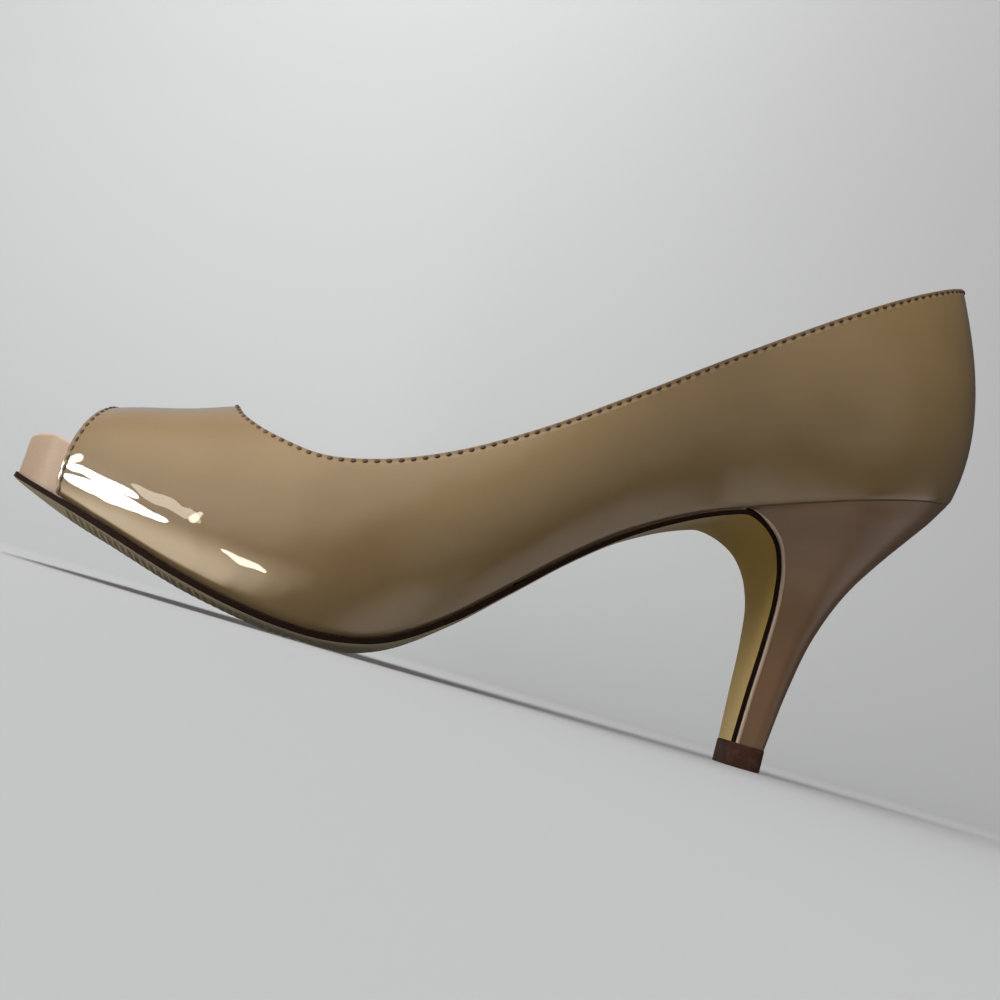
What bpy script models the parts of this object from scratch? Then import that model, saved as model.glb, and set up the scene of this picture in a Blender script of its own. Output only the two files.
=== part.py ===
"""Open-toe platform pump for a left foot, standing on its sole.

The toe points to -X, the heel to +X, the outer (lateral) side to -Y and the inner (medial) side to +Y.
Sizes are in millimetres until a mesh is made. "along" is the level distance back from the tip of the toe,
"height" the distance above the floor, and "out" the distance sideways from the middle line of the last.
"""

import math
from collections import namedtuple

import bmesh
import bpy

MM = 0.001

# Driving dimensions
LENGTH = 234.5
TOE_ROUND = 67.5
HEEL_ROUND = 40.0
MIDDLE = 118.2
SIDE_SHIFT = 0.8

WALL = 1.6
FIT = 0.3
EDGE = 1.5
CROWN_POWER = 3.2

OPENING_ALONG = 16.3
THROAT_ALONG = 49.9
BREAST_ALONG = 171.0

INSOLE = 2.4
INSOLE_DISH = 0.8
PLATFORM = 9.4
PLATFORM_FULL = 79.5
PLATFORM_END = 129.5
INSET = WALL + 0.6
FRONT_INSET = 0.6

TIP_HEIGHT = 6.0
TIP_PROUD = 0.2

RIB_PITCH = 2.0
RIB_DEPTH = 0.6
RIB_FIRST = 20.5
RIB_COUNT = 32
RIB_SHARE = 0.74

# The line where the upper meets the sole, from the toe to the back of the heel seat. "half" is half the
# width of the sole before its ends are rounded, "axis" the sideways place of its middle, and "crown" how
# much the tread bulges below its edges.
FeatherRow = namedtuple("FeatherRow", "along height half axis crown")
FEATHER_ROWS = [
    FeatherRow(0, 20.5, 35.4, 6.7, 2.4),
    FeatherRow(19.0, 16.0, 35.4, 5.8, 3.8),
    FeatherRow(31.0, 12.9, 35.4, 4.7, 3.4),
    FeatherRow(52.0, 7.2, 35.4, 2.5, 2.8),
    FeatherRow(64.0, 4.8, 35.6, 1.1, 2.4),
    FeatherRow(75.0, 3.5, 35.6, -0.1, 2.5),
    FeatherRow(86.0, 3.5, 35.0, -1.1, 3.0),
    FeatherRow(97.0, 5.9, 33.8, -1.8, 2.1),
    FeatherRow(110.8, 14.6, 31.2, -2.3, 1.1),
    FeatherRow(122.6, 25.4, 28.8, -2.3, 0.8),
    FeatherRow(134.4, 36.6, 26.2, -2.0, 0.6),
    FeatherRow(146.2, 46.2, 23.4, -1.5, 0.4),
    FeatherRow(157.1, 53.3, 21.6, -0.9, 0.3),
    FeatherRow(165.0, 57.6, 20.9, -0.5, 0.3),
    FeatherRow(171.0, 60.2, 20.8, -0.3, 0.3),
    FeatherRow(190.9, 67.7, 22.4, 0.0, 0.3),
    FeatherRow(213.7, 75.5, 24.0, 0.0, 0.3),
    FeatherRow(234.5, 82.1, 24.0, 0.0, 0.3),
]

# The heel from its seat down to its tip: the front (breast) line, the back line and half the width.
HeelRow = namedtuple("HeelRow", "breast_along breast_height back_along back_height half")
HEEL_ROWS = [
    HeelRow(175.5, 61.6, 234.5, 82.0, 21.0),
    HeelRow(182.0, 60.2, 230.4, 76.2, 18.8),
    HeelRow(187.0, 56.8, 225.7, 69.9, 16.2),
    HeelRow(190.3, 51.5, 220.1, 62.3, 13.3),
    HeelRow(192.3, 44.5, 214.2, 53.4, 10.6),
    HeelRow(193.1, 31.9, 207.5, 38.2, 8.0),
    HeelRow(192.9, 18.9, 204.0, 22.2, 6.3),
    HeelRow(192.8, TIP_HEIGHT + FIT, 201.9, TIP_HEIGHT + FIT, 5.0),
]

# Sections of the last, from the toe opening to the back. Each runs from the feather line at "along" up to
# the crest, which is the ridge of the vamp in front and opens out into two sides behind the throat.
# "flare" and "lean" are the wall's angles from upright at its foot, outwards, and at its crest, inwards;
# "low" and "high" are how far the wall keeps those angles, as shares of its height and width.
LastRow = namedtuple("LastRow", "along crest_along crest_height crest_out flare lean low high")
LAST_ROWS = [
    LastRow(16.3, 17.3, 42.3, 0.0, 15, 90, 0.56, 0.68),
    LastRow(26.7, 24.7, 44.6, 0.0, 15, 90, 0.56, 0.67),
    LastRow(38.8, 36.7, 47.9, 0.0, 16, 90, 0.56, 0.65),
    LastRow(49.9, 47.3, 51.8, 0.0, 18, 90, 0.55, 0.62),
    LastRow(66.9, 65.0, 58.8, 1.4, 20, 86, 0.52, 0.60),
    LastRow(86.9, 84.8, 68.2, 8.5, 21, 66, 0.48, 0.54),
    LastRow(106.8, 104.7, 77.5, 17.0, 23, 42, 0.44, 0.44),
    LastRow(131.5, 127.5, 89.9, 24.0, 26, 22, 0.40, 0.38),
    LastRow(156.1, 150.2, 105.3, 26.8, 27, 14, 0.38, 0.36),
    LastRow(183.9, 174.9, 124.7, 26.8, 23, 12, 0.38, 0.36),
    LastRow(213.7, 201.6, 142.1, 26.0, 18, 14, 0.38, 0.36),
    LastRow(234.5, 220.3, 150.4, 26.0, 15, 24, 0.36, 0.34),
]
CREST_END = LAST_ROWS[-1].crest_along
CREST_ROUND = 42.0

# The collar's edge as it shows from the side, from the throat to the back.
ToplineRow = namedtuple("ToplineRow", "along height")
TOPLINE_ROWS = [
    ToplineRow(47.3, 51.8),
    ToplineRow(51.2, 48.0),
    ToplineRow(56.2, 45.3),
    ToplineRow(63.2, 43.2),
    ToplineRow(72.2, 41.7),
    ToplineRow(86.2, 44.1),
    ToplineRow(101.1, 50.7),
    ToplineRow(117.9, 61.5),
    ToplineRow(139.7, 78.4),
    ToplineRow(161.4, 95.9),
    ToplineRow(199.9, 124.7),
    ToplineRow(224.6, 141.4),
]

# How finely the solids are faceted
VAMP_STATIONS = 9
QUARTER_STATIONS = 34
WALL_ROWS = 9
SOLE_STATIONS = 30
FLAP_STATIONS = 16
HEEL_RING = 14
HEEL_LEVELS = 20

LATERAL, MEDIAL = -1, 1


# Reading the tables

def smooth_at(rows, key, column, place):
    """A column's value at a place along the key column, on a smooth curve through the rows."""
    keys = [getattr(row, key) for row in rows]
    values = [getattr(row, column) for row in rows]
    place = min(max(place, keys[0]), keys[-1])
    i = max(n for n in range(len(keys) - 1) if keys[n] <= place)

    def slope(n):
        if n == 0 or n == len(keys) - 1:
            a, b = (0, 1) if n == 0 else (n - 1, n)
            return (values[b] - values[a]) / (keys[b] - keys[a])
        before = (values[n] - values[n - 1]) / (keys[n] - keys[n - 1])
        after = (values[n + 1] - values[n]) / (keys[n + 1] - keys[n])
        share = (keys[n] - keys[n - 1]) / (keys[n + 1] - keys[n - 1])
        return before * (1 - share) + after * share

    span = keys[i + 1] - keys[i]
    t = (place - keys[i]) / span
    return (
        values[i] * (1 + 2 * t) * (1 - t) ** 2
        + values[i + 1] * t * t * (3 - 2 * t)
        + span * (slope(i) * t * (1 - t) ** 2 - slope(i + 1) * t * t * (1 - t))
    )


def feather(column, along):
    return smooth_at(FEATHER_ROWS, "along", column, along)


def last(column, along):
    return smooth_at(LAST_ROWS, "along", column, along)


def crest_out(along):
    """How far the crest has opened out to each side: nothing on the closed vamp."""
    return max(0.0, last("crest_out", along)) if along > THROAT_ALONG else 0.0


def rounded(distance_from_end, length):
    """Share of the full width at a distance from an end that is rounded like an ellipse."""
    left = max(0.0, 1 - distance_from_end / length)
    return math.sqrt(max(0.0, 1 - left * left))


def half_width(along):
    """Half the sole's width, with the toe and the heel seat rounded off."""
    return (
        feather("half", along)
        * rounded(along, TOE_ROUND)
        * rounded(LENGTH - along, HEEL_ROUND)
    )


def along_of(turn):
    """Distance along the shoe, with stations that crowd towards both rounded ends."""
    return LENGTH / 2 * (1 - math.cos(math.pi * turn))


def turn_of(along):
    return math.acos(1 - 2 * along / LENGTH) / math.pi


def place(along, out, height):
    """A point of the part's frame, in metres: the middle of the length is at the origin."""
    return ((along - MIDDLE) * MM, (out + SIDE_SHIFT) * MM, height * MM)


# The last's surface

def outward(side, along):
    """Level direction that points out of the feather line."""
    step = 0.02
    near, far = max(0.0, along - step), min(LENGTH, along + step)
    run = far - near
    rise = side * (half_width(far) - half_width(near)) + feather("axis", far) - feather("axis", near)
    if along > LENGTH - step:
        return 1.0, 0.0
    length = math.hypot(run, rise)
    return -side * rise / length, side * run / length


def crest_outward(side, along):
    """Level direction that points out of the crest: sideways, and straight back at the end."""
    reach = rounded(CREST_END - last("crest_along", along), CREST_ROUND)
    return math.sqrt(1 - reach * reach), side * reach


def wall_point(side, along, share):
    """A point of the upper's outer face: share 0 is the feather line and 1 the crest."""
    foot = (along, feather("axis", along) + side * half_width(along), feather("height", along))
    crest_along = last("crest_along", along)
    reach = rounded(CREST_END - crest_along, CREST_ROUND)
    crest = (
        crest_along,
        feather("axis", crest_along) + side * crest_out(along) * reach,
        last("crest_height", along),
    )
    rise = crest[2] - foot[2]
    width = math.hypot(crest[0] - foot[0], crest[1] - foot[1])
    flare, lean = math.radians(last("flare", along)), math.radians(min(90, last("lean", along)))
    low = last("low", along) * rise
    high = last("high", along) * (width * math.sin(lean) + rise * math.cos(lean))
    foot_way, crest_way = outward(side, along), crest_outward(side, along)
    low_handle = (
        foot[0] + low * math.sin(flare) * foot_way[0],
        foot[1] + low * math.sin(flare) * foot_way[1],
        foot[2] + low * math.cos(flare),
    )
    high_handle = (
        crest[0] + high * math.sin(lean) * crest_way[0],
        crest[1] + high * math.sin(lean) * crest_way[1],
        crest[2] - high * math.cos(lean),
    )
    weights = (
        (1 - share) ** 3,
        3 * share * (1 - share) ** 2,
        3 * share * share * (1 - share),
        share ** 3,
    )
    corners = (foot, low_handle, high_handle, crest)
    return tuple(sum(w * c[axis] for w, c in zip(weights, corners)) for axis in range(3))


def collar_share(side, along):
    """How far up its wall a station reaches before the collar cuts it: 1 on the closed vamp."""
    def above(share):
        point = wall_point(side, along, share)
        return point[2] - smooth_at(TOPLINE_ROWS, "along", "height", point[0])

    if along <= THROAT_ALONG or above(1.0) <= 0:
        return 1.0
    low, high = 0.0, 1.0
    for _ in range(40):
        middle = (low + high) / 2
        low, high = (low, middle) if above(middle) > 0 else (middle, high)
    return low


# Making objects

def finish(name, mesh, colour, roughness, coat=0.0):
    """An object of the mesh, smooth where it is round, with its own plain material."""
    material = bpy.data.materials.new(name)
    material.use_nodes = True
    surface = material.node_tree.nodes["Principled BSDF"]
    surface.inputs["Base Color"].default_value = (*colour, 1.0)
    surface.inputs["Roughness"].default_value = roughness
    surface.inputs["Coat Weight"].default_value = coat
    mesh.materials.append(material)
    mesh.shade_smooth()
    mesh.set_sharp_from_angle(angle=math.radians(40))
    made = bpy.data.objects.new(name, mesh)
    bpy.context.scene.collection.objects.link(made)
    return made


def mesh_of(name, build):
    """A mesh filled by build(bm), with doubles merged and its faces pointing outwards."""
    bm = bmesh.new()
    build(bm)
    bmesh.ops.remove_doubles(bm, verts=bm.verts, dist=1e-6)
    bmesh.ops.recalc_face_normals(bm, faces=bm.faces)
    mesh = bpy.data.meshes.new(name)
    bm.to_mesh(mesh)
    bm.free()
    return mesh


def loft(bm, rings, pairs):
    """Skins closed rings of equal length, and closes both ends with rungs between paired points."""
    skins = [[bm.verts.new(place(*point)) for point in ring] for ring in rings]
    count = len(skins[0])
    for first, second in zip(skins, skins[1:]):
        for i in range(count):
            j = (i + 1) % count
            bm.faces.new((first[i], first[j], second[j], second[i]))
    for ring in (skins[0], skins[-1]):
        for (a, b), (c, d) in zip(pairs, pairs[1:]):
            corners = [ring[a], ring[c], ring[d], ring[b]]
            bm.faces.new([v for n, v in enumerate(corners) if v not in corners[:n]])


# Upper

def upper_stations():
    """Stations from the toe opening to the back, crowded where the throat turns."""
    first, throat = turn_of(OPENING_ALONG), turn_of(THROAT_ALONG)
    vamp = [first + (throat - first) * n / VAMP_STATIONS for n in range(VAMP_STATIONS)]
    quarter = [
        throat + (1 - throat) * (1 - math.cos(math.pi / 2 * n / QUARTER_STATIONS))
        for n in range(QUARTER_STATIONS + 1)
    ]
    return [along_of(turn) for turn in vamp + quarter]


def upper():
    """The patent upper: vamp and quarters in one wall, open at the toe, the collar and underneath."""
    def build(bm):
        for side in (LATERAL, MEDIAL):
            columns = []
            for along in upper_stations():
                reach = collar_share(side, along)
                shares = [reach * n / WALL_ROWS for n in range(WALL_ROWS + 1)]
                columns.append([bm.verts.new(place(*wall_point(side, along, s))) for s in shares])
            for first, second in zip(columns, columns[1:]):
                for n in range(WALL_ROWS):
                    bm.faces.new((first[n], second[n], second[n + 1], first[n + 1]))

    made = finish("upper", mesh_of("upper", build), (0.42, 0.30, 0.19), 0.12, 1.0)
    wall = made.modifiers.new("wall", "SOLIDIFY")
    wall.thickness = WALL * MM
    wall.offset = -1
    wall.use_even_offset = True
    return made


# Outsole

TreadRow = namedtuple("TreadRow", "run along height half axis crown")


def tread_rows():
    """The sole's line from the toe over the arch and down the heel's breast, by its length so far."""
    knots = [row for row in FEATHER_ROWS if row.along <= BREAST_ALONG]
    knots += [FeatherRow(r.breast_along, r.breast_height, r.half, 0.0, 0.5) for r in HEEL_ROWS]
    run, rows = 0.0, []
    for n, knot in enumerate(knots):
        if n:
            run += math.hypot(knot.along - knots[n - 1].along, knot.height - knots[n - 1].height)
        rows.append(TreadRow(run, *knot))
    return rows


TREAD_ROWS = tread_rows()
TREAD_END = TREAD_ROWS[-1].run
FLAP_RUN = next(row.run for row in TREAD_ROWS if row.along >= BREAST_ALONG)


def tread(column, run):
    return smooth_at(TREAD_ROWS, "run", column, run)


def tread_down(run):
    """Direction out of the tread in the shoe's middle plane: down under the foot, forward on the breast."""
    step = 0.05
    near, far = max(0.0, run - step), min(TREAD_END, run + step)
    forth = tread("along", far) - tread("along", near)
    up = tread("height", far) - tread("height", near)
    length = math.hypot(forth, up)
    return up / length, -forth / length


def rib_stations():
    """Runs where a rib's crest or groove starts and ends, each with the depth of the tread there."""
    stations = []
    for n in range(RIB_COUNT):
        start = RIB_FIRST + n * RIB_PITCH
        for share, depth in ((0.0, 0.0), (0.42, 0.0), (0.58, RIB_DEPTH), (0.86, RIB_DEPTH)):
            stations.append((start + share * RIB_PITCH, depth))
    return stations + [(RIB_FIRST + RIB_COUNT * RIB_PITCH, 0.0)]


def sole_stations():
    """Every run at which the outsole has a ring, from the toe to the heel's tip, with its groove depth."""
    ribs = rib_stations()
    toe = [(along_of(turn_of(RIB_FIRST) * n / 7), 0.0) for n in range(1, 7)]
    start, end = ribs[-1][0], FLAP_RUN
    waist = [(start + (end - start) * n / SOLE_STATIONS, 0.0) for n in range(1, SOLE_STATIONS)]
    flap = [(end + (TREAD_END - end) * n / FLAP_STATIONS, 0.0) for n in range(FLAP_STATIONS + 1)]
    return toe + ribs + waist + flap


def ribbed_share(run):
    """Half-width of the ribbed field as a share of the sole's, drawn in at its two ends."""
    middle, reach = RIB_FIRST + RIB_COUNT * RIB_PITCH / 2, RIB_COUNT * RIB_PITCH / 2 + 1.0
    left = abs(run - middle) / reach
    return RIB_SHARE * (1 - left ** 4) ** 0.25 if left < 1 else RIB_SHARE


def sole_ring(run, groove):
    """The outsole's outline across one station: its crowned tread, then its flat top face."""
    along, height = tread("along", run), tread("height", run)
    rounding = rounded(along, TOE_ROUND)
    half, axis = tread("half", run) * rounding, tread("axis", run)
    down = tread_down(run)
    field = ribbed_share(run)
    margin = field + 0.04
    halves = [margin + (1 - margin) * 0.55, margin, field, field / 2]
    columns = [-1.0] + [-share for share in halves] + [0.0] + halves[::-1] + [1.0]
    points = []
    for share in columns:
        bulge = tread("crown", run) * rounding * (1 - abs(share) ** CROWN_POWER)
        depth = EDGE + bulge - (groove if abs(share) <= field else 0.0)
        floor = groove if abs(share) <= field else 0.0
        level = max(height + down[1] * depth, floor)
        points.append((along + down[0] * depth, axis + share * half, level))
    for share in (1.0, -1.0):
        points.append((along + down[0] * FIT, axis + share * half, height + down[1] * FIT))
    return points


def outsole():
    """The moulded sole: a thin edge, a crowned ribbed tread, and the flap that covers the heel's breast."""
    rings = [sole_ring(run, groove) for run, groove in sole_stations()]
    pairs = [(n, 12) for n in range(5)] + [(n, 11) for n in range(5, 11)]
    mesh = mesh_of("outsole", lambda bm: loft(bm, rings, pairs))
    return finish("outsole", mesh, (0.50, 0.42, 0.29), 0.55)


# Platform and insole

def lift(along):
    """Thickness of the platform under the insole: full under the toes, run out in the arch."""
    share = (along - PLATFORM_FULL) / (PLATFORM_END - PLATFORM_FULL)
    share = min(max(share, 0.0), 1.0)
    return PLATFORM * (1 - share * share * (3 - 2 * share))


def inset_half(along):
    """Half the width that is left inside the upper's wall, or almost all of it in the toe opening."""
    open_share = min(max((OPENING_ALONG - 1.0 - along) / 5.0, 0.0), 1.0)
    inset = INSET + (FRONT_INSET - INSET) * open_share
    return (
        (feather("half", along) - inset)
        * rounded(along - inset, TOE_ROUND)
        * rounded(LENGTH - INSET - along, HEEL_ROUND)
    )


def layer_rings(first, last_along, count, bottom, top, dish):
    """Rings of a layer inside the upper, between two heights above the feather line."""
    rings = []
    start, end = turn_of(first), turn_of(last_along)
    for n in range(count + 1):
        along = along_of(start + (end - start) * n / count)
        half, axis, height = inset_half(along), feather("axis", along), feather("height", along)
        low = [(along, axis + side * half, height + bottom(along)) for side in (LATERAL, MEDIAL)]
        high = [
            (along, axis + share * half, height + top(along) - dish * (1 - share * share))
            for share in (1.0, 0.5, 0.0, -0.5, -1.0)
        ]
        rings.append(low + high)
    return rings


LAYER_PAIRS = [(0, 6), (0, 5), (0, 4), (1, 4), (1, 3), (1, 2)]


def platform():
    """The covered platform under the forefoot, which shows in the toe opening."""
    rings = layer_rings(FRONT_INSET + 0.1, PLATFORM_END - 6, 28, lambda a: FIT, lambda a: lift(a) + FIT, 0.0)
    mesh = mesh_of("platform", lambda bm: loft(bm, rings, LAYER_PAIRS))
    return finish("platform", mesh, (0.48, 0.36, 0.26), 0.35)


def insole():
    """The padded footbed, from the toe opening to the heel seat."""
    rings = layer_rings(
        FRONT_INSET + 0.1,
        LENGTH - INSET - 0.1,
        42,
        lambda a: lift(a) + 2 * FIT,
        lambda a: lift(a) + 2 * FIT + INSOLE,
        INSOLE_DISH,
    )
    mesh = mesh_of("insole", lambda bm: loft(bm, rings, LAYER_PAIRS))
    return finish("insole", mesh, (0.55, 0.42, 0.30), 0.6)


# Heel and its tip

def seat_shape():
    """The heel seat's outline as shares: 0 at the breast to 1 at the back, and of the half-width."""
    front, back = HEEL_ROWS[0].breast_along, HEEL_ROWS[0].back_along
    widest = half_width(front)
    shape = []
    for n in range(HEEL_RING + 1):
        share = math.sin(math.pi / 2 * n / HEEL_RING)
        along = front + (LENGTH - front) * share
        shape.append((share, half_width(along) / widest))
    return shape


def heel_ring(breast, back, half):
    """A D-shaped ring of the heel between a breast point and a back point of the middle plane."""
    sides = {}
    for side in (LATERAL, MEDIAL):
        sides[side] = [
            (
                breast[0] + (back[0] - breast[0]) * share,
                side * half * wide,
                breast[1] + (back[1] - breast[1]) * share,
            )
            for share, wide in seat_shape()
        ]
    return sides[LATERAL] + sides[MEDIAL][-2::-1]


HEEL_PAIRS = [(n, 2 * HEEL_RING - n) for n in range(HEEL_RING + 1)]


HeelStation = namedtuple("HeelStation", "run back_along back_height half")
HEEL_STATIONS = [
    HeelStation(tread_row.run, row.back_along, row.back_height, row.half)
    for tread_row, row in zip(TREAD_ROWS[-len(HEEL_ROWS):], HEEL_ROWS)
]


def heel():
    """The slim covered heel block, hollowed in at the back, flat on its breast."""
    rings = []
    first = HEEL_STATIONS[0].run
    for n in range(HEEL_LEVELS + 1):
        run = first + (TREAD_END - first) * n / HEEL_LEVELS
        back = [smooth_at(HEEL_STATIONS, "run", column, run) for column in ("back_along", "back_height")]
        half = smooth_at(HEEL_STATIONS, "run", "half", run)
        rings.append(heel_ring((tread("along", run), tread("height", run)), back, half))
    mesh = mesh_of("heel", lambda bm: loft(bm, rings, HEEL_PAIRS))
    return finish("heel", mesh, (0.42, 0.30, 0.19), 0.2, 0.6)


def top_piece():
    """The hard-wearing tip under the heel and the sole's flap."""
    row = HEEL_ROWS[-1]
    front, back = row.breast_along - EDGE - TIP_PROUD, row.back_along + TIP_PROUD
    rings = [heel_ring((front, level), (back, level), row.half + TIP_PROUD) for level in (0.0, TIP_HEIGHT)]
    mesh = mesh_of("top_piece", lambda bm: loft(bm, rings, HEEL_PAIRS))
    return finish("top_piece", mesh, (0.06, 0.03, 0.02), 0.5)


def main():
    for old in list(bpy.data.objects):
        bpy.data.objects.remove(old)
    for make in (upper, insole, platform, outsole, heel, top_piece):
        make()


main()
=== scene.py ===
# Open-toe platform pump for a left foot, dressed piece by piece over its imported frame.
# Sizes are in millimetres until a mesh is made. "along" is the level distance back from the toe's tip,
# "height" the distance above the floor, and "out" the distance sideways from the middle line of the last.
import math
from collections import namedtuple
from functools import lru_cache

import bmesh
import bpy
from mathutils import Matrix, Vector
from mathutils.bvhtree import BVHTree
from mathutils.kdtree import KDTree


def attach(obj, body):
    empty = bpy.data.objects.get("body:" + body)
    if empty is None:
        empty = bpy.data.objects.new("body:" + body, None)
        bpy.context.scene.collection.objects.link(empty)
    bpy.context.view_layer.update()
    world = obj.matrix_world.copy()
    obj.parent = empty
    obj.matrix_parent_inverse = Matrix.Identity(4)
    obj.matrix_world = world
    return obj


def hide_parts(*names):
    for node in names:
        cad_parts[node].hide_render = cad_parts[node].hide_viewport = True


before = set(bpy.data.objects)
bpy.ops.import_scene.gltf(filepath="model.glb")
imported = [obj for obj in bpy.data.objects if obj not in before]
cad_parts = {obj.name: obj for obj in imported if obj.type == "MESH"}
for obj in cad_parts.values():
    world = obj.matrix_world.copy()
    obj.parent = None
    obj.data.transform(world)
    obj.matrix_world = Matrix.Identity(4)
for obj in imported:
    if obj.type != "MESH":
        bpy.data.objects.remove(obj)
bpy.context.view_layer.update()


# Upper
# One skin of patent leather with its lining, drawn over the last from the toe opening to the back.
# Its edges are folded in at the collar and the opening, and its foot is glued down onto the sole.

MM = 0.001
LENGTH = 234.5
TOE_ROUND = 67.5
HEEL_ROUND = 40.0
MIDDLE = 118.2
SIDE_SHIFT = 0.8
WALL = 1.6
OPENING_ALONG = 16.3
THROAT_ALONG = 49.9
LATERAL, MEDIAL = -1, 1
SIDES = (LATERAL, MEDIAL)

# The line where the upper meets the sole. "half" is half the sole's width before its ends are rounded,
# "axis" the sideways place of its middle, and "crown" how much the tread bulges below its edges.
FeatherRow = namedtuple("FeatherRow", "along height half axis crown")
FEATHER_ROWS = [FeatherRow(*row) for row in (
    (0, 20.5, 35.4, 6.7, 2.4),
    (19.0, 16.0, 35.4, 5.8, 3.8),
    (31.0, 12.9, 35.4, 4.7, 3.4),
    (52.0, 7.2, 35.4, 2.5, 2.8),
    (64.0, 4.8, 35.6, 1.1, 2.4),
    (75.0, 3.5, 35.6, -0.1, 2.5),
    (86.0, 3.5, 35.0, -1.1, 3.0),
    (97.0, 5.9, 33.8, -1.8, 2.1),
    (110.8, 14.6, 31.2, -2.3, 1.1),
    (122.6, 25.4, 28.8, -2.3, 0.8),
    (134.4, 36.6, 26.2, -2.0, 0.6),
    (146.2, 46.2, 23.4, -1.5, 0.4),
    (157.1, 53.3, 21.6, -0.9, 0.3),
    (165.0, 57.6, 20.9, -0.5, 0.3),
    (171.0, 60.2, 20.8, -0.3, 0.3),
    (190.9, 67.7, 22.4, 0.0, 0.3),
    (213.7, 75.5, 24.0, 0.0, 0.3),
    (234.5, 82.1, 24.0, 0.0, 0.3),
)]

# Sections of the last, each from the feather line at "along" up to the crest, which is the ridge of the
# vamp in front and opens out into two sides behind the throat. "flare" and "lean" are the wall's angles
# from upright at its foot and its crest; "low" and "high" are how far the wall keeps them.
LastRow = namedtuple("LastRow", "along crest_along crest_height crest_out flare lean low high")
LAST_ROWS = [LastRow(*row) for row in (
    (16.3, 17.3, 42.3, 0.0, 15, 90, 0.56, 0.68),
    (26.7, 24.7, 44.6, 0.0, 15, 90, 0.56, 0.67),
    (38.8, 36.7, 47.9, 0.0, 16, 90, 0.56, 0.65),
    (49.9, 47.3, 51.8, 0.0, 18, 90, 0.55, 0.62),
    (66.9, 65.0, 58.8, 1.4, 20, 86, 0.52, 0.60),
    (86.9, 84.8, 68.2, 8.5, 21, 66, 0.48, 0.54),
    (106.8, 104.7, 77.5, 17.0, 23, 42, 0.44, 0.44),
    (131.5, 127.5, 89.9, 24.0, 26, 22, 0.40, 0.38),
    (156.1, 150.2, 105.3, 26.8, 27, 14, 0.38, 0.36),
    (183.9, 174.9, 124.7, 26.8, 23, 12, 0.38, 0.36),
    (213.7, 201.6, 142.1, 26.0, 18, 14, 0.38, 0.36),
    (234.5, 220.3, 150.4, 26.0, 15, 24, 0.36, 0.34),
)]
CREST_END = LAST_ROWS[-1].crest_along
CREST_ROUND = 42.0

# The collar's edge as it shows from the side, from the throat to the back.
ToplineRow = namedtuple("ToplineRow", "along height")
TOPLINE_ROWS = [ToplineRow(*row) for row in (
    (47.3, 51.8),
    (51.2, 48.0),
    (56.2, 45.3),
    (63.2, 43.2),
    (72.2, 41.7),
    (86.2, 44.1),
    (101.1, 50.7),
    (117.9, 61.5),
    (139.7, 78.4),
    (161.4, 95.9),
    (199.9, 124.7),
    (224.6, 141.4),
)]

# Soft creases and ridges of the patent, the same on both sides: each runs between two places, given by
# their distance along and their share of the wall's height. A depth above 0 is a trough, below 0 a ridge.
CreaseRow = namedtuple("CreaseRow", "along share end_along end_share width depth")
CREASE_ROWS = [CreaseRow(*row) for row in (
    (191.5, 0.02, 181.5, 0.98, 5.0, -0.12),
    (79.5, 0.30, 71.5, 0.92, 4.5, 0.13),
    (89.5, 0.25, 84.5, 0.85, 5.5, -0.10),
    (49.5, 0.62, 57.5, 0.80, 3.5, 0.10),
    (133.5, 0.30, 155.5, 0.55, 9.0, 0.16),
)]
CREASE_FADE_FROM, CREASE_FADE_SPAN = 0.15, 0.7


def clamped(share):
    return min(max(share, 0.0), 1.0)


def smooth_at(rows, key, column, place):
    """A column's value at a place along the key column, on a smooth curve through the rows."""
    keys = [getattr(row, key) for row in rows]
    values = [getattr(row, column) for row in rows]
    place = min(max(place, keys[0]), keys[-1])
    i = max(n for n in range(len(keys) - 1) if keys[n] <= place)

    def slope(n):
        if n == 0 or n == len(keys) - 1:
            a, b = (0, 1) if n == 0 else (n - 1, n)
            return (values[b] - values[a]) / (keys[b] - keys[a])
        before = (values[n] - values[n - 1]) / (keys[n] - keys[n - 1])
        after = (values[n + 1] - values[n]) / (keys[n + 1] - keys[n])
        share = (keys[n] - keys[n - 1]) / (keys[n + 1] - keys[n - 1])
        return before * (1 - share) + after * share

    span = keys[i + 1] - keys[i]
    t = (place - keys[i]) / span
    return (
        values[i] * (1 + 2 * t) * (1 - t) ** 2
        + values[i + 1] * t * t * (3 - 2 * t)
        + span * (slope(i) * t * (1 - t) ** 2 - slope(i + 1) * t * t * (1 - t))
    )


@lru_cache(maxsize=None)
def feather(column, along):
    return smooth_at(FEATHER_ROWS, "along", column, along)


@lru_cache(maxsize=None)
def last(column, along):
    return smooth_at(LAST_ROWS, "along", column, along)


def crest_out(along):
    """How far the crest has opened out to each side: nothing on the closed vamp."""
    return max(0.0, last("crest_out", along)) if along > THROAT_ALONG else 0.0


def rounded(distance_from_end, length):
    """Share of the full width at a distance from an end that is rounded like an ellipse."""
    left = max(0.0, 1 - distance_from_end / length)
    return math.sqrt(max(0.0, 1 - left * left))


def half_width(along):
    """Half the sole's width, with the toe and the heel seat rounded off."""
    return feather("half", along) * rounded(along, TOE_ROUND) * rounded(LENGTH - along, HEEL_ROUND)


def along_of(turn):
    """Distance along the shoe, with stations that crowd towards both rounded ends."""
    return LENGTH / 2 * (1 - math.cos(math.pi * turn))


def turn_of(along):
    return math.acos(1 - 2 * along / LENGTH) / math.pi


def place(along, out, height):
    """A point of the part's frame, in metres."""
    return Vector(((along - MIDDLE) * MM, (out + SIDE_SHIFT) * MM, height * MM))


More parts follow.
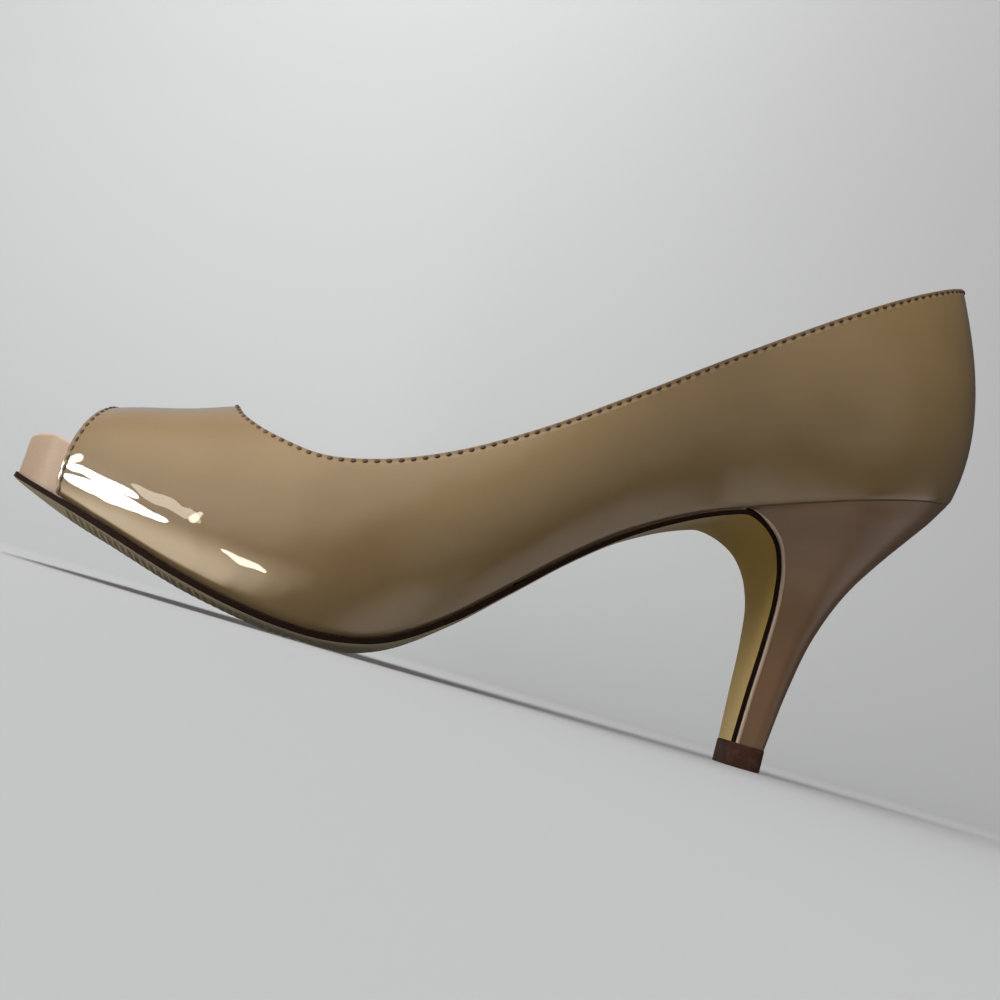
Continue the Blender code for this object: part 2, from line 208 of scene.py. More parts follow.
@lru_cache(maxsize=None)
def outward(side, along):
    """Level direction that points out of the feather line."""
    step = 0.02
    near, far = max(0.0, along - step), min(LENGTH, along + step)
    run = far - near
    rise = side * (half_width(far) - half_width(near)) + feather("axis", far) - feather("axis", near)
    if along > LENGTH - step:
        return 1.0, 0.0
    length = math.hypot(run, rise)
    return -side * rise / length, side * run / length


@lru_cache(maxsize=None)
def wall_frame(side, along):
    """The four corners of the curve up the wall at one station: foot, two handles and crest."""
    foot = (along, feather("axis", along) + side * half_width(along), feather("height", along))
    crest_along = last("crest_along", along)
    reach = rounded(CREST_END - crest_along, CREST_ROUND)
    crest = (
        crest_along,
        feather("axis", crest_along) + side * crest_out(along) * reach,
        last("crest_height", along),
    )
    rise = crest[2] - foot[2]
    width = math.hypot(crest[0] - foot[0], crest[1] - foot[1])
    flare, lean = math.radians(last("flare", along)), math.radians(min(90, last("lean", along)))
    low = last("low", along) * rise
    high = last("high", along) * (width * math.sin(lean) + rise * math.cos(lean))
    foot_way, crest_way = outward(side, along), (math.sqrt(1 - reach * reach), side * reach)
    low_handle = (
        foot[0] + low * math.sin(flare) * foot_way[0],
        foot[1] + low * math.sin(flare) * foot_way[1],
        foot[2] + low * math.cos(flare),
    )
    high_handle = (
        crest[0] + high * math.sin(lean) * crest_way[0],
        crest[1] + high * math.sin(lean) * crest_way[1],
        crest[2] - high * math.cos(lean),
    )
    return foot, low_handle, high_handle, crest


def wall_point(side, along, share):
    """A point of the upper's outer face: share 0 is the feather line and 1 the crest."""
    left = 1 - share
    weights = (left ** 3, 3 * share * left ** 2, 3 * share * share * left, share ** 3)
    corners = wall_frame(side, along)
    return tuple(sum(w * c[axis] for w, c in zip(weights, corners)) for axis in range(3))


@lru_cache(maxsize=None)
def collar_share(side, along):
    """How far up its wall a station reaches before the collar cuts it: 1 on the closed vamp."""
    def above(share):
        point = wall_point(side, along, share)
        return point[2] - smooth_at(TOPLINE_ROWS, "along", "height", point[0])

    if along <= THROAT_ALONG or above(1.0) <= 0:
        return 1.0
    low, high = 0.0, 1.0
    for _ in range(30):
        middle = (low + high) / 2
        low, high = (low, middle) if above(middle) > 0 else (middle, high)
    return low


RIM_STEPS = (0.0, 0.45, 0.9, 1.4, 2.0, 2.8, 4.0)
FOOT_STEPS = (2.0, 1.3, 0.75, 0.3, 0.0)
FOOT_TURN = 0.5
VAMP_STATIONS = 24
QUARTER_STATIONS = 96
WALL_ROWS = 26


def upper_stations():
    """Stations from the toe opening to the back, close together at the opening's rim and the throat."""
    rim = [OPENING_ALONG + step for step in RIM_STEPS]
    first, throat = turn_of(rim[-1]), turn_of(THROAT_ALONG)
    vamp = [first + (throat - first) * n / VAMP_STATIONS for n in range(1, VAMP_STATIONS)]
    quarter = [
        throat + (1 - throat) * (1 - math.cos(math.pi / 2 * n / QUARTER_STATIONS))
        for n in range(QUARTER_STATIONS + 1)
    ]
    return rim + [along_of(turn) for turn in vamp + quarter]


def wall_shares(side, along):
    """Shares up the wall at one station, close together under the rim and above the foot."""
    reach, fine = collar_share(side, along), 60
    points = [Vector(wall_point(side, along, reach * (1 - n / fine))) for n in range(fine + 1)]
    lengths = [0.0]
    for first, second in zip(points, points[1:]):
        lengths.append(lengths[-1] + (second - first).length)
    between = lengths[-1] - RIM_STEPS[-1] - FOOT_STEPS[0]
    wanted = list(RIM_STEPS) + [RIM_STEPS[-1] + between * n / WALL_ROWS for n in range(1, WALL_ROWS)]
    wanted += [lengths[-1] - step for step in FOOT_STEPS]
    shares, n = [], 0
    for length in wanted:
        while n < fine - 1 and lengths[n + 1] < length:
            n += 1
        part = (length - lengths[n]) / max(lengths[n + 1] - lengths[n], 1e-9)
        shares.append(reach * (1 - (n + min(part, 1.0)) / fine))
    return shares[::-1]


def wrapped(name, columns, rows, point_at, painted=()):
    """A flat grid primitive wrapped onto a shape: point_at(column, row) places each vertex.

    The rows of faces in painted take the piece's second material.
    """
    bpy.ops.mesh.primitive_grid_add(x_subdivisions=columns - 1, y_subdivisions=rows - 1, size=1)
    sheet = bpy.context.object
    sheet.name = sheet.data.name = name
    for face in sheet.data.polygons:
        face.material_index = int((face.center.y + 0.5) * (rows - 1)) in painted
    for vertex in sheet.data.vertices:
        column = round((vertex.co.x + 0.5) * (columns - 1))
        row = round((vertex.co.y + 0.5) * (rows - 1))
        vertex.co = place(*point_at(column, row))
    return sheet


def picked(*pieces):
    """Selects these pieces alone, with the first one active."""
    bpy.ops.object.select_all(action="DESELECT")
    for piece in pieces:
        piece.select_set(True)
    bpy.context.view_layer.objects.active = pieces[0]


def sealed(piece, fill=False):
    """Merges a piece's doubled points, closes its ends if asked, and turns its faces outwards."""
    picked(piece)
    bpy.ops.object.mode_set(mode="EDIT")
    bpy.ops.mesh.select_all(action="SELECT")
    bpy.ops.mesh.remove_doubles(threshold=1e-6)
    if fill:
        bpy.ops.mesh.fill_holes(sides=0)
    bpy.ops.mesh.select_all(action="SELECT")
    bpy.ops.mesh.normals_make_consistent(inside=False)
    bpy.ops.object.mode_set(mode="OBJECT")
    return piece


def joined(name, pieces):
    """Several meshes joined into the first one."""
    picked(*pieces)
    bpy.ops.object.join()
    pieces[0].name = pieces[0].data.name = name
    return pieces[0]


def smooth_shaded(piece, sharp_above):
    """Shades a piece smoothly, apart from edges that turn by more than an angle in degrees."""
    picked(piece)
    bpy.ops.object.shade_smooth_by_angle(angle=math.radians(sharp_above))


def skin_point(side, along, row):
    """A point of the patent, which is turned in a little at its foot where it is glued down."""
    spot = wall_point(side, along, rows_at[side, along][row])
    if row >= len(FOOT_STEPS):
        return spot
    share = 1 - FOOT_STEPS[-1 - row] / FOOT_STEPS[0]
    way, turn = outward(side, along), FOOT_TURN * share * share
    return spot[0] - way[0] * turn, spot[1] - way[1] * turn, spot[2]


def crease_depth(point):
    """How far the patent sinks in, in millimetres, at a point of the outer face."""
    depth = 0.0
    for start, end, row in creases:
        way = end - start
        t = clamped((point - start).dot(way) / way.length_squared)
        gap = (point - start - way * t).length / MM
        fade = math.sin(math.pi * (CREASE_FADE_FROM + CREASE_FADE_SPAN * t))
        depth += row.depth * fade * math.exp(-(gap / row.width) ** 2)
    return depth


stations = upper_stations()
rows_at = {(side, along): wall_shares(side, along) for side in SIDES for along in stations}
creases = [
    (
        place(*wall_point(side, row.along, row.share)),
        place(*wall_point(side, row.end_along, row.end_share)),
        row,
    )
    for row in CREASE_ROWS for side in SIDES
]

halves = []
for side in SIDES:
    halves.append(wrapped(
        "upper_half", len(stations), len(RIM_STEPS) + WALL_ROWS - 1 + len(FOOT_STEPS),
        lambda column, row: skin_point(side, stations[column], row),
    ))
upper = sealed(joined("upper_skin", halves))
skin_normals = [vertex.normal.copy() for vertex in upper.data.vertices]
for vertex, normal in zip(upper.data.vertices, skin_normals):
    vertex.co -= normal * crease_depth(vertex.co) * MM
upper.data.update()

# The two rims as lines of points, and the outer face that the stitches lie on.
collar_stations = [along for along in stations if along >= THROAT_ALONG]
collar_line = [
    place(*wall_point(LATERAL, along, collar_share(LATERAL, along))) for along in collar_stations[::-1]
] + [
    place(*wall_point(MEDIAL, along, collar_share(MEDIAL, along))) for along in collar_stations[1:]
]
opening_line = [
    place(*wall_point(LATERAL, OPENING_ALONG, share)) for share in rows_at[LATERAL, OPENING_ALONG]
] + [
    place(*wall_point(MEDIAL, OPENING_ALONG, share)) for share in rows_at[MEDIAL, OPENING_ALONG][-2::-1]
]
skin_tree = BVHTree.FromPolygons(
    [vertex.co.copy() for vertex in upper.data.vertices],
    [tuple(face.vertices) for face in upper.data.polygons],
)


def evenly(line, pitch):
    """Points a pitch apart along a line, each with the line's direction there."""
    found, left = [], pitch / 2
    for first, second in zip(line, line[1:]):
        way = second - first
        if way.length < 1e-9:
            continue
        while left <= way.length:
            found.append((first + way.normalized() * left, way.normalized()))
            left += pitch
        left -= way.length
    return found


RIM_PITCH = 0.3
rim_points = [spot for line in (collar_line, opening_line) for spot, _ in evenly(line, RIM_PITCH * MM)]
rim_tree = KDTree(len(rim_points))
for number, spot in enumerate(rim_points):
    rim_tree.insert(spot, number)
rim_tree.balance()

# Patent leather: a clear glossy coat over a pigmented face, gently uneven, pressed in along the stitches.
PATENT_TAN = (0.272, 0.180, 0.082)
PATENT_DEEP = (0.244, 0.158, 0.069)


def surface_of(name):
    """A new material with its node tree and its shader."""
    made = bpy.data.materials.new(name)
    made.use_nodes = True
    tree = made.node_tree
    return made, tree, tree.nodes["Principled BSDF"]


def node(tree, kind, **values):
    """A new node with the given properties, or socket values for names that start with a capital."""
    made = tree.nodes.new(kind)
    for name, value in values.items():
        if name[0].isupper():
            made.inputs[name.replace("_", " ")].default_value = value
        else:
            setattr(made, name, value)
    return made


def spots(tree, scale, detail):
    """Cloudy noise on the piece's own coordinates, with its features 1 / scale metres across."""
    noise = node(tree, "ShaderNodeTexNoise", Scale=scale, Detail=detail)
    tree.links.new(node(tree, "ShaderNodeTexCoord").outputs["Object"], noise.inputs["Vector"])
    return noise.outputs["Fac"]


def ranged(tree, value, low, high, to_low=0.0, to_high=1.0):
    """A value taken smoothly from one range to another."""
    made = node(
        tree, "ShaderNodeMapRange", interpolation_type="SMOOTHSTEP",
        From_Min=low, From_Max=high, To_Min=to_low, To_Max=to_high,
    )
    tree.links.new(value, made.inputs["Value"])
    return made.outputs["Result"]


def mixed(tree, share, first, second):
    """Two colours mixed by a share; either may be a plain colour or another node's output."""
    made = node(tree, "ShaderNodeMix", data_type="RGBA")
    tree.links.new(share, made.inputs[0])
    for value, socket in ((first, made.inputs[6]), (second, made.inputs[7])):
        if isinstance(value, tuple):
            socket.default_value = (*value, 1.0)
        else:
            tree.links.new(value, socket)
    return made.outputs[2]


def mottled(tree, scale, detail, first, second, low=0.35, high=0.65):
    """Two colours that pass softly into each other in cloudy patches."""
    return mixed(tree, ranged(tree, spots(tree, scale, detail), low, high), first, second)


def bumped(tree, height, strength, depth, under=None):
    """A bump of the given depth in metres, laid over another one if there is one."""
    made = node(tree, "ShaderNodeBump", Strength=strength, Distance=depth)
    tree.links.new(height, made.inputs["Height"])
    if under:
        tree.links.new(under, made.inputs["Normal"])
    return made.outputs["Normal"]


def combined(tree, operation, first, second):
    """Arithmetic on two values, of which the second may be a plain number."""
    made = node(tree, "ShaderNodeMath", operation=operation)
    tree.links.new(first, made.inputs[0])
    if isinstance(second, (int, float)):
        made.inputs[1].default_value = second
    else:
        tree.links.new(second, made.inputs[1])
    return made.outputs[0]


def dressed(tree, shader, tone, normal, **values):
    """Gives a shader its colour, its bump if it has one, and plain values to the other sockets named."""
    tree.links.new(tone, shader.inputs["Base Color"])
    if normal:
        tree.links.new(normal, shader.inputs["Normal"])
    for name, value in values.items():
        shader.inputs[name.replace("_", " ")].default_value = value


COLLAR_IN = 0.65
OPENING_IN = 1.2
GROOVE_HALF = 0.9
patent, tree, shader = surface_of("patent_leather")
rim = node(tree, "ShaderNodeAttribute", attribute_name="rim_mm").outputs["Fac"]
off_stitch = combined(tree, "ABSOLUTE", combined(tree, "SUBTRACT", rim, (COLLAR_IN + OPENING_IN) / 2), 0)
tone = mottled(tree, 24.0, 2.0, PATENT_TAN, PATENT_DEEP)
pressed = bumped(tree, ranged(tree, off_stitch, 0.0, GROOVE_HALF), 0.4, 0.0003)
waved = bumped(tree, spots(tree, 95.0, 1.0), 0.28, 0.0009, pressed)
grained = bumped(tree, spots(tree, 1500.0, 3.0), 0.10, 0.0002, waved)
dressed(
    tree, shader, tone, grained, Roughness=0.45, Specular_IOR_Level=0.12,
    Coat_Weight=1.0, Coat_Roughness=0.03, Coat_IOR=1.52,
)
tree.links.new(waved, shader.inputs["Coat Normal"])

# Lining: thin smooth leather with fine pores, glued to the inside of the patent.
LINING_BEIGE = (0.50, 0.37, 0.25)
LINING_SHADE = (0.43, 0.31, 0.20)
lining, tree, shader = surface_of("lining_leather")
tone = mottled(tree, 60.0, 4.0, LINING_BEIGE, LINING_SHADE, 0.3, 0.7)
dressed(tree, shader, tone, bumped(tree, spots(tree, 2200.0, 4.0), 0.35, 0.0003), Roughness=0.62)

upper.data.materials.append(patent)
upper.data.materials.append(lining)
wall = upper.modifiers.new("wall", "SOLIDIFY")
wall.thickness = WALL * MM
wall.offset = -1
wall.use_even_offset = True
wall.material_offset = 1
picked(upper)
bpy.ops.object.modifier_apply(modifier="wall")

# The folds' edges are rounded, and each point keeps its distance from the nearest rim for the patent.
FOLD_ROUND = 0.5
FOLD_REACH = WALL + 0.4
FOLD_ANGLE = 50
RIM_FAR = 20.0
skin = bmesh.new()
skin.from_mesh(upper.data)
fold_edges = [
    edge for edge in skin.edges
    if len(edge.link_faces) == 2 and edge.calc_face_angle(0.0) > math.radians(FOLD_ANGLE)
    and all(rim_tree.find(end.co)[2] < FOLD_REACH * MM for end in edge.verts)
]
bmesh.ops.bevel(
    skin, geom=fold_edges, offset=FOLD_ROUND * MM, offset_type="OFFSET", segments=3, profile=0.5,
    affect="EDGES", clamp_overlap=True, material=0,
)
skin.to_mesh(upper.data)
skin.free()
distances = upper.data.attributes.new("rim_mm", "FLOAT", "POINT")
for number, vertex in enumerate(upper.data.vertices):
    distances.data[number].value = min(rim_tree.find(vertex.co)[2] / MM, RIM_FAR)
smooth_shaded(upper, 60)
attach(upper, "root")
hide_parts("upper")


# Stitches
# One row of dark thread runs close under the collar's fold, and another round the toe opening.
# Each stitch is a short round bead that lies in the groove its own pull has pressed into the patent.

STITCH_LONG = 1.42
STITCH_WIDE = 0.98
STITCH_TALL = 0.62
STITCH_PROUD = 0.05
COLLAR_PITCH = 2.68
OPENING_PITCH = 2.5
THREAD_BROWN = (0.060, 0.032, 0.020)

bpy.ops.mesh.primitive_uv_sphere_add(segments=10, ring_count=8, radius=0.5)
bead = bpy.context.object
bpy.ops.object.mode_set(mode="EDIT")
bpy.ops.mesh.select_all(action="SELECT")
bpy.ops.transform.rotate(value=math.pi / 2, orient_axis="Y", center_override=(0, 0, 0))
bpy.ops.transform.resize(value=(STITCH_LONG * MM, STITCH_WIDE * MM, STITCH_TALL * MM))
bpy.ops.object.mode_set(mode="OBJECT")

thread = bmesh.new()
for line, pitch, inset in (
    (collar_line, COLLAR_PITCH, COLLAR_IN), (opening_line, OPENING_PITCH, OPENING_IN),
):
    for spot, way in evenly(line, pitch * MM):
        normal = skin_tree.find_nearest(spot)[1]
        across = normal.cross(way).normalized()
        tries = [skin_tree.find_nearest(spot + across * turn * inset * MM) for turn in (1, -1)]
        ground, normal, _, _ = min(tries, key=lambda found: found[3])
        across = normal.cross(way).normalized()
        forth = across.cross(normal).normalized()
        turn = Matrix((forth, across, normal)).transposed().to_4x4()
        lie = Matrix.Translation(ground + normal * STITCH_PROUD * MM) @ turn
        count = len(thread.verts)
        thread.from_mesh(bead.data)
        thread.verts.ensure_lookup_table()
        bmesh.ops.transform(thread, matrix=lie, verts=thread.verts[count:])
stitches = bpy.data.objects.new("stitches", bpy.data.meshes.new("stitches"))
bpy.context.scene.collection.objects.link(stitches)
thread.to_mesh(stitches.data)
thread.free()
bpy.data.objects.remove(bead)

thread_brown, tree, shader = surface_of("thread_brown")
tone = mixed(tree, spots(tree, 1800.0, 2.0), THREAD_BROWN, tuple(1.7 * c for c in THREAD_BROWN))
dressed(tree, shader, tone, bumped(tree, spots(tree, 2600.0, 2.0), 0.5, 0.0002), Roughness=0.6)
stitches.data.materials.append(thread_brown)
smooth_shaded(stitches, 80)
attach(stitches, "root")


# Platform
# A light block under the forefoot, wrapped in plain soft leather. Its front stands in the toe opening,
# where the wrapping is drawn up over the edge of the footbed and shows as one smooth pinkish band.

FIT = 0.3
INSOLE = 2.4
INSOLE_DISH = 0.8
PLATFORM = 9.4
PLATFORM_FULL = 79.5
PLATFORM_END = 129.5
INSET = WALL + 0.6
FRONT_INSET = 0.6
WRAP = 0.9
WRAP_ROUND = 0.9
TIP_DROP = 3.8
TIP_DROP_ALONG = 10.5
OPEN_PAST, OPEN_BLEND = 1.0, 7.0
LIP_PAST, LIP_BLEND = 4.0, 3.0
LIP_BACK = FRONT_INSET + 1.6 * WRAP
LIP_DIP = 0.6
SUNK = 0.05
CORNER_TURNS = (0, 30, 60, 90)
PLATFORM_TRIM = 6
PLATFORM_STATIONS = 72
COVER_PINK = (0.520, 0.372, 0.260)
COVER_SHADE = (0.478, 0.338, 0.233)


def eased(share):
    """A share from 0 to 1 that starts and ends gently."""
    return share * share * (3 - 2 * share)


def lift(along):
    """Thickness of the platform under the footbed: full under the toes, less at the tip and in the arch."""
    share = clamped((along - PLATFORM_FULL) / (PLATFORM_END - PLATFORM_FULL))
    drop = TIP_DROP * max(0.0, 1 - along / TIP_DROP_ALONG) ** 1.2
    return PLATFORM * (1 - eased(share)) - drop


def open_share(along):
    """1 in the toe opening, where a layer shows, and 0 once it is inside the upper."""
    return eased(clamped((OPENING_ALONG + OPEN_PAST - along) / OPEN_BLEND))


def lip_share(along):
    """1 where the wrapping stands up round the footbed, from the tip until the upper hides it."""
    return clamped((OPENING_ALONG + LIP_PAST - along) / LIP_BLEND)


def inset_half(along, more=0.0):
    """Half the width that is left inside the upper's wall, or almost all of it in the toe opening."""
    inset = INSET + (FRONT_INSET - INSET) * open_share(along) + more
    return (
        (feather("half", along) - inset)
        * rounded(along - inset, TOE_ROUND)
        * rounded(LENGTH - INSET - more - along, HEEL_ROUND)
    )


def lip_inside(along):
    """Half the width between the two sides of the wrapping's lip, and the round of its upper corner."""
    half = inset_half(along)
    corner = min(WRAP_ROUND, half * 0.4, lift(along) * 0.45)
    return max(half - corner - WRAP, half * 0.3), corner


def layer_stations(first, last_along, count):
    start, end = turn_of(first), turn_of(last_along)
    return [along_of(start + (end - start) * n / count) for n in range(count + 1)]


def ringed(name, rings, painted=()):
    """A closed piece wrapped round a row of rings of points, with its two ends filled."""
    count = len(rings[0])
    made = wrapped(name, len(rings), count + 1, lambda c, r: rings[c][r % count], painted)
    return sealed(made, fill=True)


def layer(name, alongs, section):
    """A closed layer inside the upper: section(along) gives its outline across as (out, height) pairs."""
    return ringed(name, [[(along, *spot) for spot in section(along)] for along in alongs])


def round_corner(half, top, corner):
    """A section's rounded upper corner, from its upright side to its level top."""
    return [
        (half - corner + corner * math.cos(angle), top - corner + corner * math.sin(angle))
        for angle in map(math.radians, CORNER_TURNS)
    ]


def both_halves(axis, right):
    """A section's whole outline, from its right half and the sideways place of its middle."""
    left = [(-out, level) for out, level in right[::-1]]
    return [(axis + out, level) for out, level in right + left]


def platform_section(along):
    """The block's outline, with the wrapping's round upper corners and its lip round the footbed."""
    axis, height = feather("axis", along), feather("height", along)
    half = inset_half(along)
    lip = (INSOLE + FIT) * lip_share(along)
    dip = lip * clamped((along - LIP_BACK) / LIP_DIP)
    top, bottom = height + FIT + lift(along), height - FIT - SUNK
    inner, corner = lip_inside(along)
    right = [(half, bottom)] + round_corner(half, top + lip, corner)
    right += [(inner, top + lip), (inner * 0.98, top + lip - dip), (inner * 0.5, top + lip - dip)]
    return both_halves(axis, right)


platform_alongs = layer_stations(FRONT_INSET + 0.01, PLATFORM_END - PLATFORM_TRIM, PLATFORM_STATIONS)
platform = layer("platform_cover", platform_alongs, platform_section)
cover, tree, shader = surface_of("platform_leather")
tone = mottled(tree, 90.0, 3.0, COVER_PINK, COVER_SHADE)
grained = bumped(tree, spots(tree, 1700.0, 3.0), 0.25, 0.0003)
dressed(tree, shader, tone, grained, Roughness=0.55, Specular_IOR_Level=0.25)
platform.data.materials.append(cover)
smooth_shaded(platform, 50)
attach(platform, "root")
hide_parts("platform")


# Footbed
# A thin padded board under a soft leather sock, from the toe opening to the heel seat.
# The sock is a little dished along its middle and turned down round its edge.

SOCK_BEIGE = (0.52, 0.385, 0.265)
SOCK_SHADE = (0.46, 0.335, 0.225)
SOCK_COLUMNS = 14
SOCK_ROUND = 1.1
SOCK_ROUND_LESS = 0.7
FOOTBED_STATIONS = 110


def footbed_section(along):
    """The footbed's outline across: flat below, with a rounded rim and a dished top."""
    axis, height = feather("axis", along), feather("height", along)
    half = inset_half(along, 1.5 * WRAP * lip_share(along))
    if lip_share(along):
        half = max(half, lip_inside(along)[0] + 0.1)
    floor = height + lift(along) + 2 * FIT
    base = height - FIT - SUNK
    bottom = base + (floor - base) * min(lift(along) / 1.5, 1.0)
    corner = min(SOCK_ROUND - SOCK_ROUND_LESS * lip_share(along), half * 0.4)
    right = [(half, bottom)] + round_corner(half, floor + INSOLE, corner)
    flat = half - corner
    for n in range(1, SOCK_COLUMNS // 2):
        share = 1 - 2 * n / SOCK_COLUMNS
        right.append((flat * share, floor + INSOLE - INSOLE_DISH * (1 - share * share)))
    return both_halves(axis, right)


footbed_alongs = layer_stations(LIP_BACK, LENGTH - INSET - 0.1, FOOTBED_STATIONS)
footbed = layer("footbed", footbed_alongs, footbed_section)
sock, tree, shader = surface_of("sock_leather")
tone = mottled(tree, 45.0, 4.0, SOCK_BEIGE, SOCK_SHADE, 0.3, 0.7)
dressed(tree, shader, tone, bumped(tree, spots(tree, 1900.0, 4.0), 0.4, 0.0003), Roughness=0.58)
footbed.data.materials.append(sock)
smooth_shaded(footbed, 50)
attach(footbed, "root")
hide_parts("insole")


# Outsole
# A thin moulded sole, olive beige below, with fine ribs across the forefoot and a smooth margin round
# them. Its edge is painted dark brown, and behind the waist it turns down as a flap over the heel's breast.

EDGE = 1.5
CROWN_POWER = 3.2
BREAST_ALONG = 171.0
TIP_HEIGHT = 6.0
RIB_PITCH = 2.0
RIB_DEPTH = 0.6
RIB_FIRST = 20.5
RIB_COUNT = 32
RIB_TOE_SHARE = 0.94
RIB_BALL_SHARE = 0.76
RIB_STEPS = 8
GROOVE_FROM, GROOVE_IN = 0.36, 0.22
GROOVE_TO, GROOVE_OUT = 0.80, 0.20
TOE_STATIONS = 14
WAIST_STATIONS = 56
FLAP_STATIONS = 52
EDGE_BREAK = 0.15
EDGE_MIDDLE = 0.55 * EDGE + 0.45 * FIT
MARGIN_COLUMNS = (0.98, 0.9, 0.7, 0.45, 0.2)
FIELD_COLUMNS = (0.85, 0.66, 0.44, 0.22)
FIELD_FADES = (0.0, 0.5, 1.0)
FIELD_SOFT = 0.12
TREAD_OLIVE = (0.560, 0.460, 0.290)
TREAD_PALE = (0.620, 0.515, 0.335)
# The flap's colours: pale at its foot as painted light, a darker yellow higher up as painted shade under
# the arch.
FLAP_YELLOW_PAINTED_SHADE = (0.56, 0.360, 0.068)
FLAP_PALE_PAINTED_LIGHT = (0.79, 0.575, 0.25)
FLAP_TONE_X = (0.033, 0.069)
FLAP_PAINTED_LIGHT_Z = (0.006, 0.056)
EDGE_BROWN = (0.012, 0.006, 0.004)

# The heel from its seat down to its tip: the front (breast) line, the back line and half the width.
HeelRow = namedtuple("HeelRow", "breast_along breast_height back_along back_height half")
HEEL_ROWS = [HeelRow(*row) for row in (
    (175.5, 61.6, 234.5, 82.0, 21.0),
    (182.0, 60.2, 230.4, 76.2, 18.8),
    (187.0, 56.8, 225.7, 69.9, 16.2),
    (190.3, 51.5, 220.1, 62.3, 13.3),
    (192.3, 44.5, 214.2, 53.4, 10.6),
    (193.1, 31.9, 207.5, 38.2, 8.0),
    (192.9, 18.9, 204.0, 22.2, 6.3),
    (192.8, TIP_HEIGHT, 201.9, TIP_HEIGHT, 5.0),
)]

TreadRow = namedtuple("TreadRow", "run along height half axis crown")


def tread_rows():
    """The sole's line from the toe over the arch and down the heel's breast, by its length so far."""
    knots = [row for row in FEATHER_ROWS if row.along <= BREAST_ALONG]
    knots += [FeatherRow(r.breast_along, r.breast_height, r.half, 0.0, 0.5) for r in HEEL_ROWS]
    run, rows = 0.0, []
    for n, knot in enumerate(knots):
        if n:
            run += math.hypot(knot.along - knots[n - 1].along, knot.height - knots[n - 1].height)
        rows.append(TreadRow(run, *knot))
    return rows


TREAD_ROWS = tread_rows()
TREAD_END = TREAD_ROWS[-1].run
FLAP_RUN = next(row.run for row in TREAD_ROWS if row.along >= BREAST_ALONG)


def tread(column, run):
    return smooth_at(TREAD_ROWS, "run", column, run)


def tread_down(run):
    """Direction out of the tread in the shoe's middle plane: down under the foot, forward on the breast."""
    step = 0.05
    near, far = max(0.0, run - step), min(TREAD_END, run + step)
    forth = tread("along", far) - tread("along", near)
    up = tread("height", far) - tread("height", near)
    length = math.hypot(forth, up)
    return up / length, -forth / length


def rib_groove(share):
    """Depth of the tread at a share of one rib's pitch: a rounded crest, then a groove."""
    sunk = clamped((share - GROOVE_FROM) / GROOVE_IN)
    return RIB_DEPTH * eased(sunk - clamped((share - GROOVE_TO) / GROOVE_OUT))


def sole_stations():
    """Every run at which the sole has a section, with its groove's depth there."""
    rib_end = RIB_FIRST + RIB_COUNT * RIB_PITCH
    toe_turn = turn_of(RIB_FIRST)
    toe = [(along_of(toe_turn * (n + 0.3) / TOE_STATIONS), 0.0) for n in range(TOE_STATIONS)]
    ribs = [
        (RIB_FIRST + RIB_PITCH * n / RIB_STEPS, rib_groove(n % RIB_STEPS / RIB_STEPS))
        for n in range(RIB_COUNT * RIB_STEPS + 1)
    ]
    waist_step = (FLAP_RUN - rib_end) / WAIST_STATIONS
    waist = [(rib_end + waist_step * n, 0.0) for n in range(1, WAIST_STATIONS)]
    flap_step = (TREAD_END - FLAP_RUN) / FLAP_STATIONS
    flap = [(FLAP_RUN + flap_step * n, 0.0) for n in range(FLAP_STATIONS + 1)]
    return toe + ribs + waist + flap


def ribbed_share(run):
    """Half-width of the ribbed field as a share of the sole's: almost all at the toe, less at the ball."""
    back = clamped((run - RIB_FIRST) / (RIB_COUNT * RIB_PITCH))
    return RIB_TOE_SHARE + (RIB_BALL_SHARE - RIB_TOE_SHARE) * back * back


def sole_section(run, groove):
    """The sole's outline across one station: crowned tread, rounded painted edge and flat top."""
    along, height = tread("along", run), tread("height", run)
    rounding = rounded(along, TOE_ROUND)
    half, axis = tread("half", run) * rounding, tread("axis", run)
    down = tread_down(run)
    field = ribbed_share(run)
    soft = FIELD_SOFT * (1 - field)
    halves = [field + (1 - field) * part for part in MARGIN_COLUMNS]
    halves += [field + soft - 2 * soft * fade for fade in FIELD_FADES]
    halves += [(field - soft) * part for part in FIELD_COLUMNS]
    depths = [0.0] * len(MARGIN_COLUMNS) + [groove * fade for fade in FIELD_FADES]
    depths += [groove] * len(FIELD_COLUMNS)
    columns = list(zip([-share for share in halves], depths)) + [(0.0, groove)]
    columns += list(zip(halves[::-1], depths[::-1]))
    points = [(-1.0, EDGE_MIDDLE, 0.0), (-1.0, EDGE - EDGE_BREAK, 0.0)]
    for share, cut in columns:
        bulge = tread("crown", run) * rounding * (1 - abs(share) ** CROWN_POWER)
        points.append((share, EDGE + bulge - cut, cut))
    points += [(1.0, EDGE - EDGE_BREAK, 0.0), (1.0, EDGE_MIDDLE, 0.0), (1.0, FIT, 0.0), (-1.0, FIT, 0.0)]
    return [
        (along + down[0] * depth, axis + share * half, max(height + down[1] * depth, lowest))
        for share, depth, lowest in points
    ]


sections = [sole_section(run, groove) for run, groove in sole_stations()]
ring = len(sections[0])
outsole = ringed("outsole_tread", sections, painted=(0, 1, *range(ring - 5, ring)))

tread_rubber, tree, shader = surface_of("tread_rubber")
where = node(tree, "ShaderNodeTexCoord").outputs["Object"]
axes = node(tree, "ShaderNodeSeparateXYZ")
tree.links.new(where, axes.inputs["Vector"])
tone = mottled(tree, 70.0, 3.0, TREAD_OLIVE, TREAD_PALE)
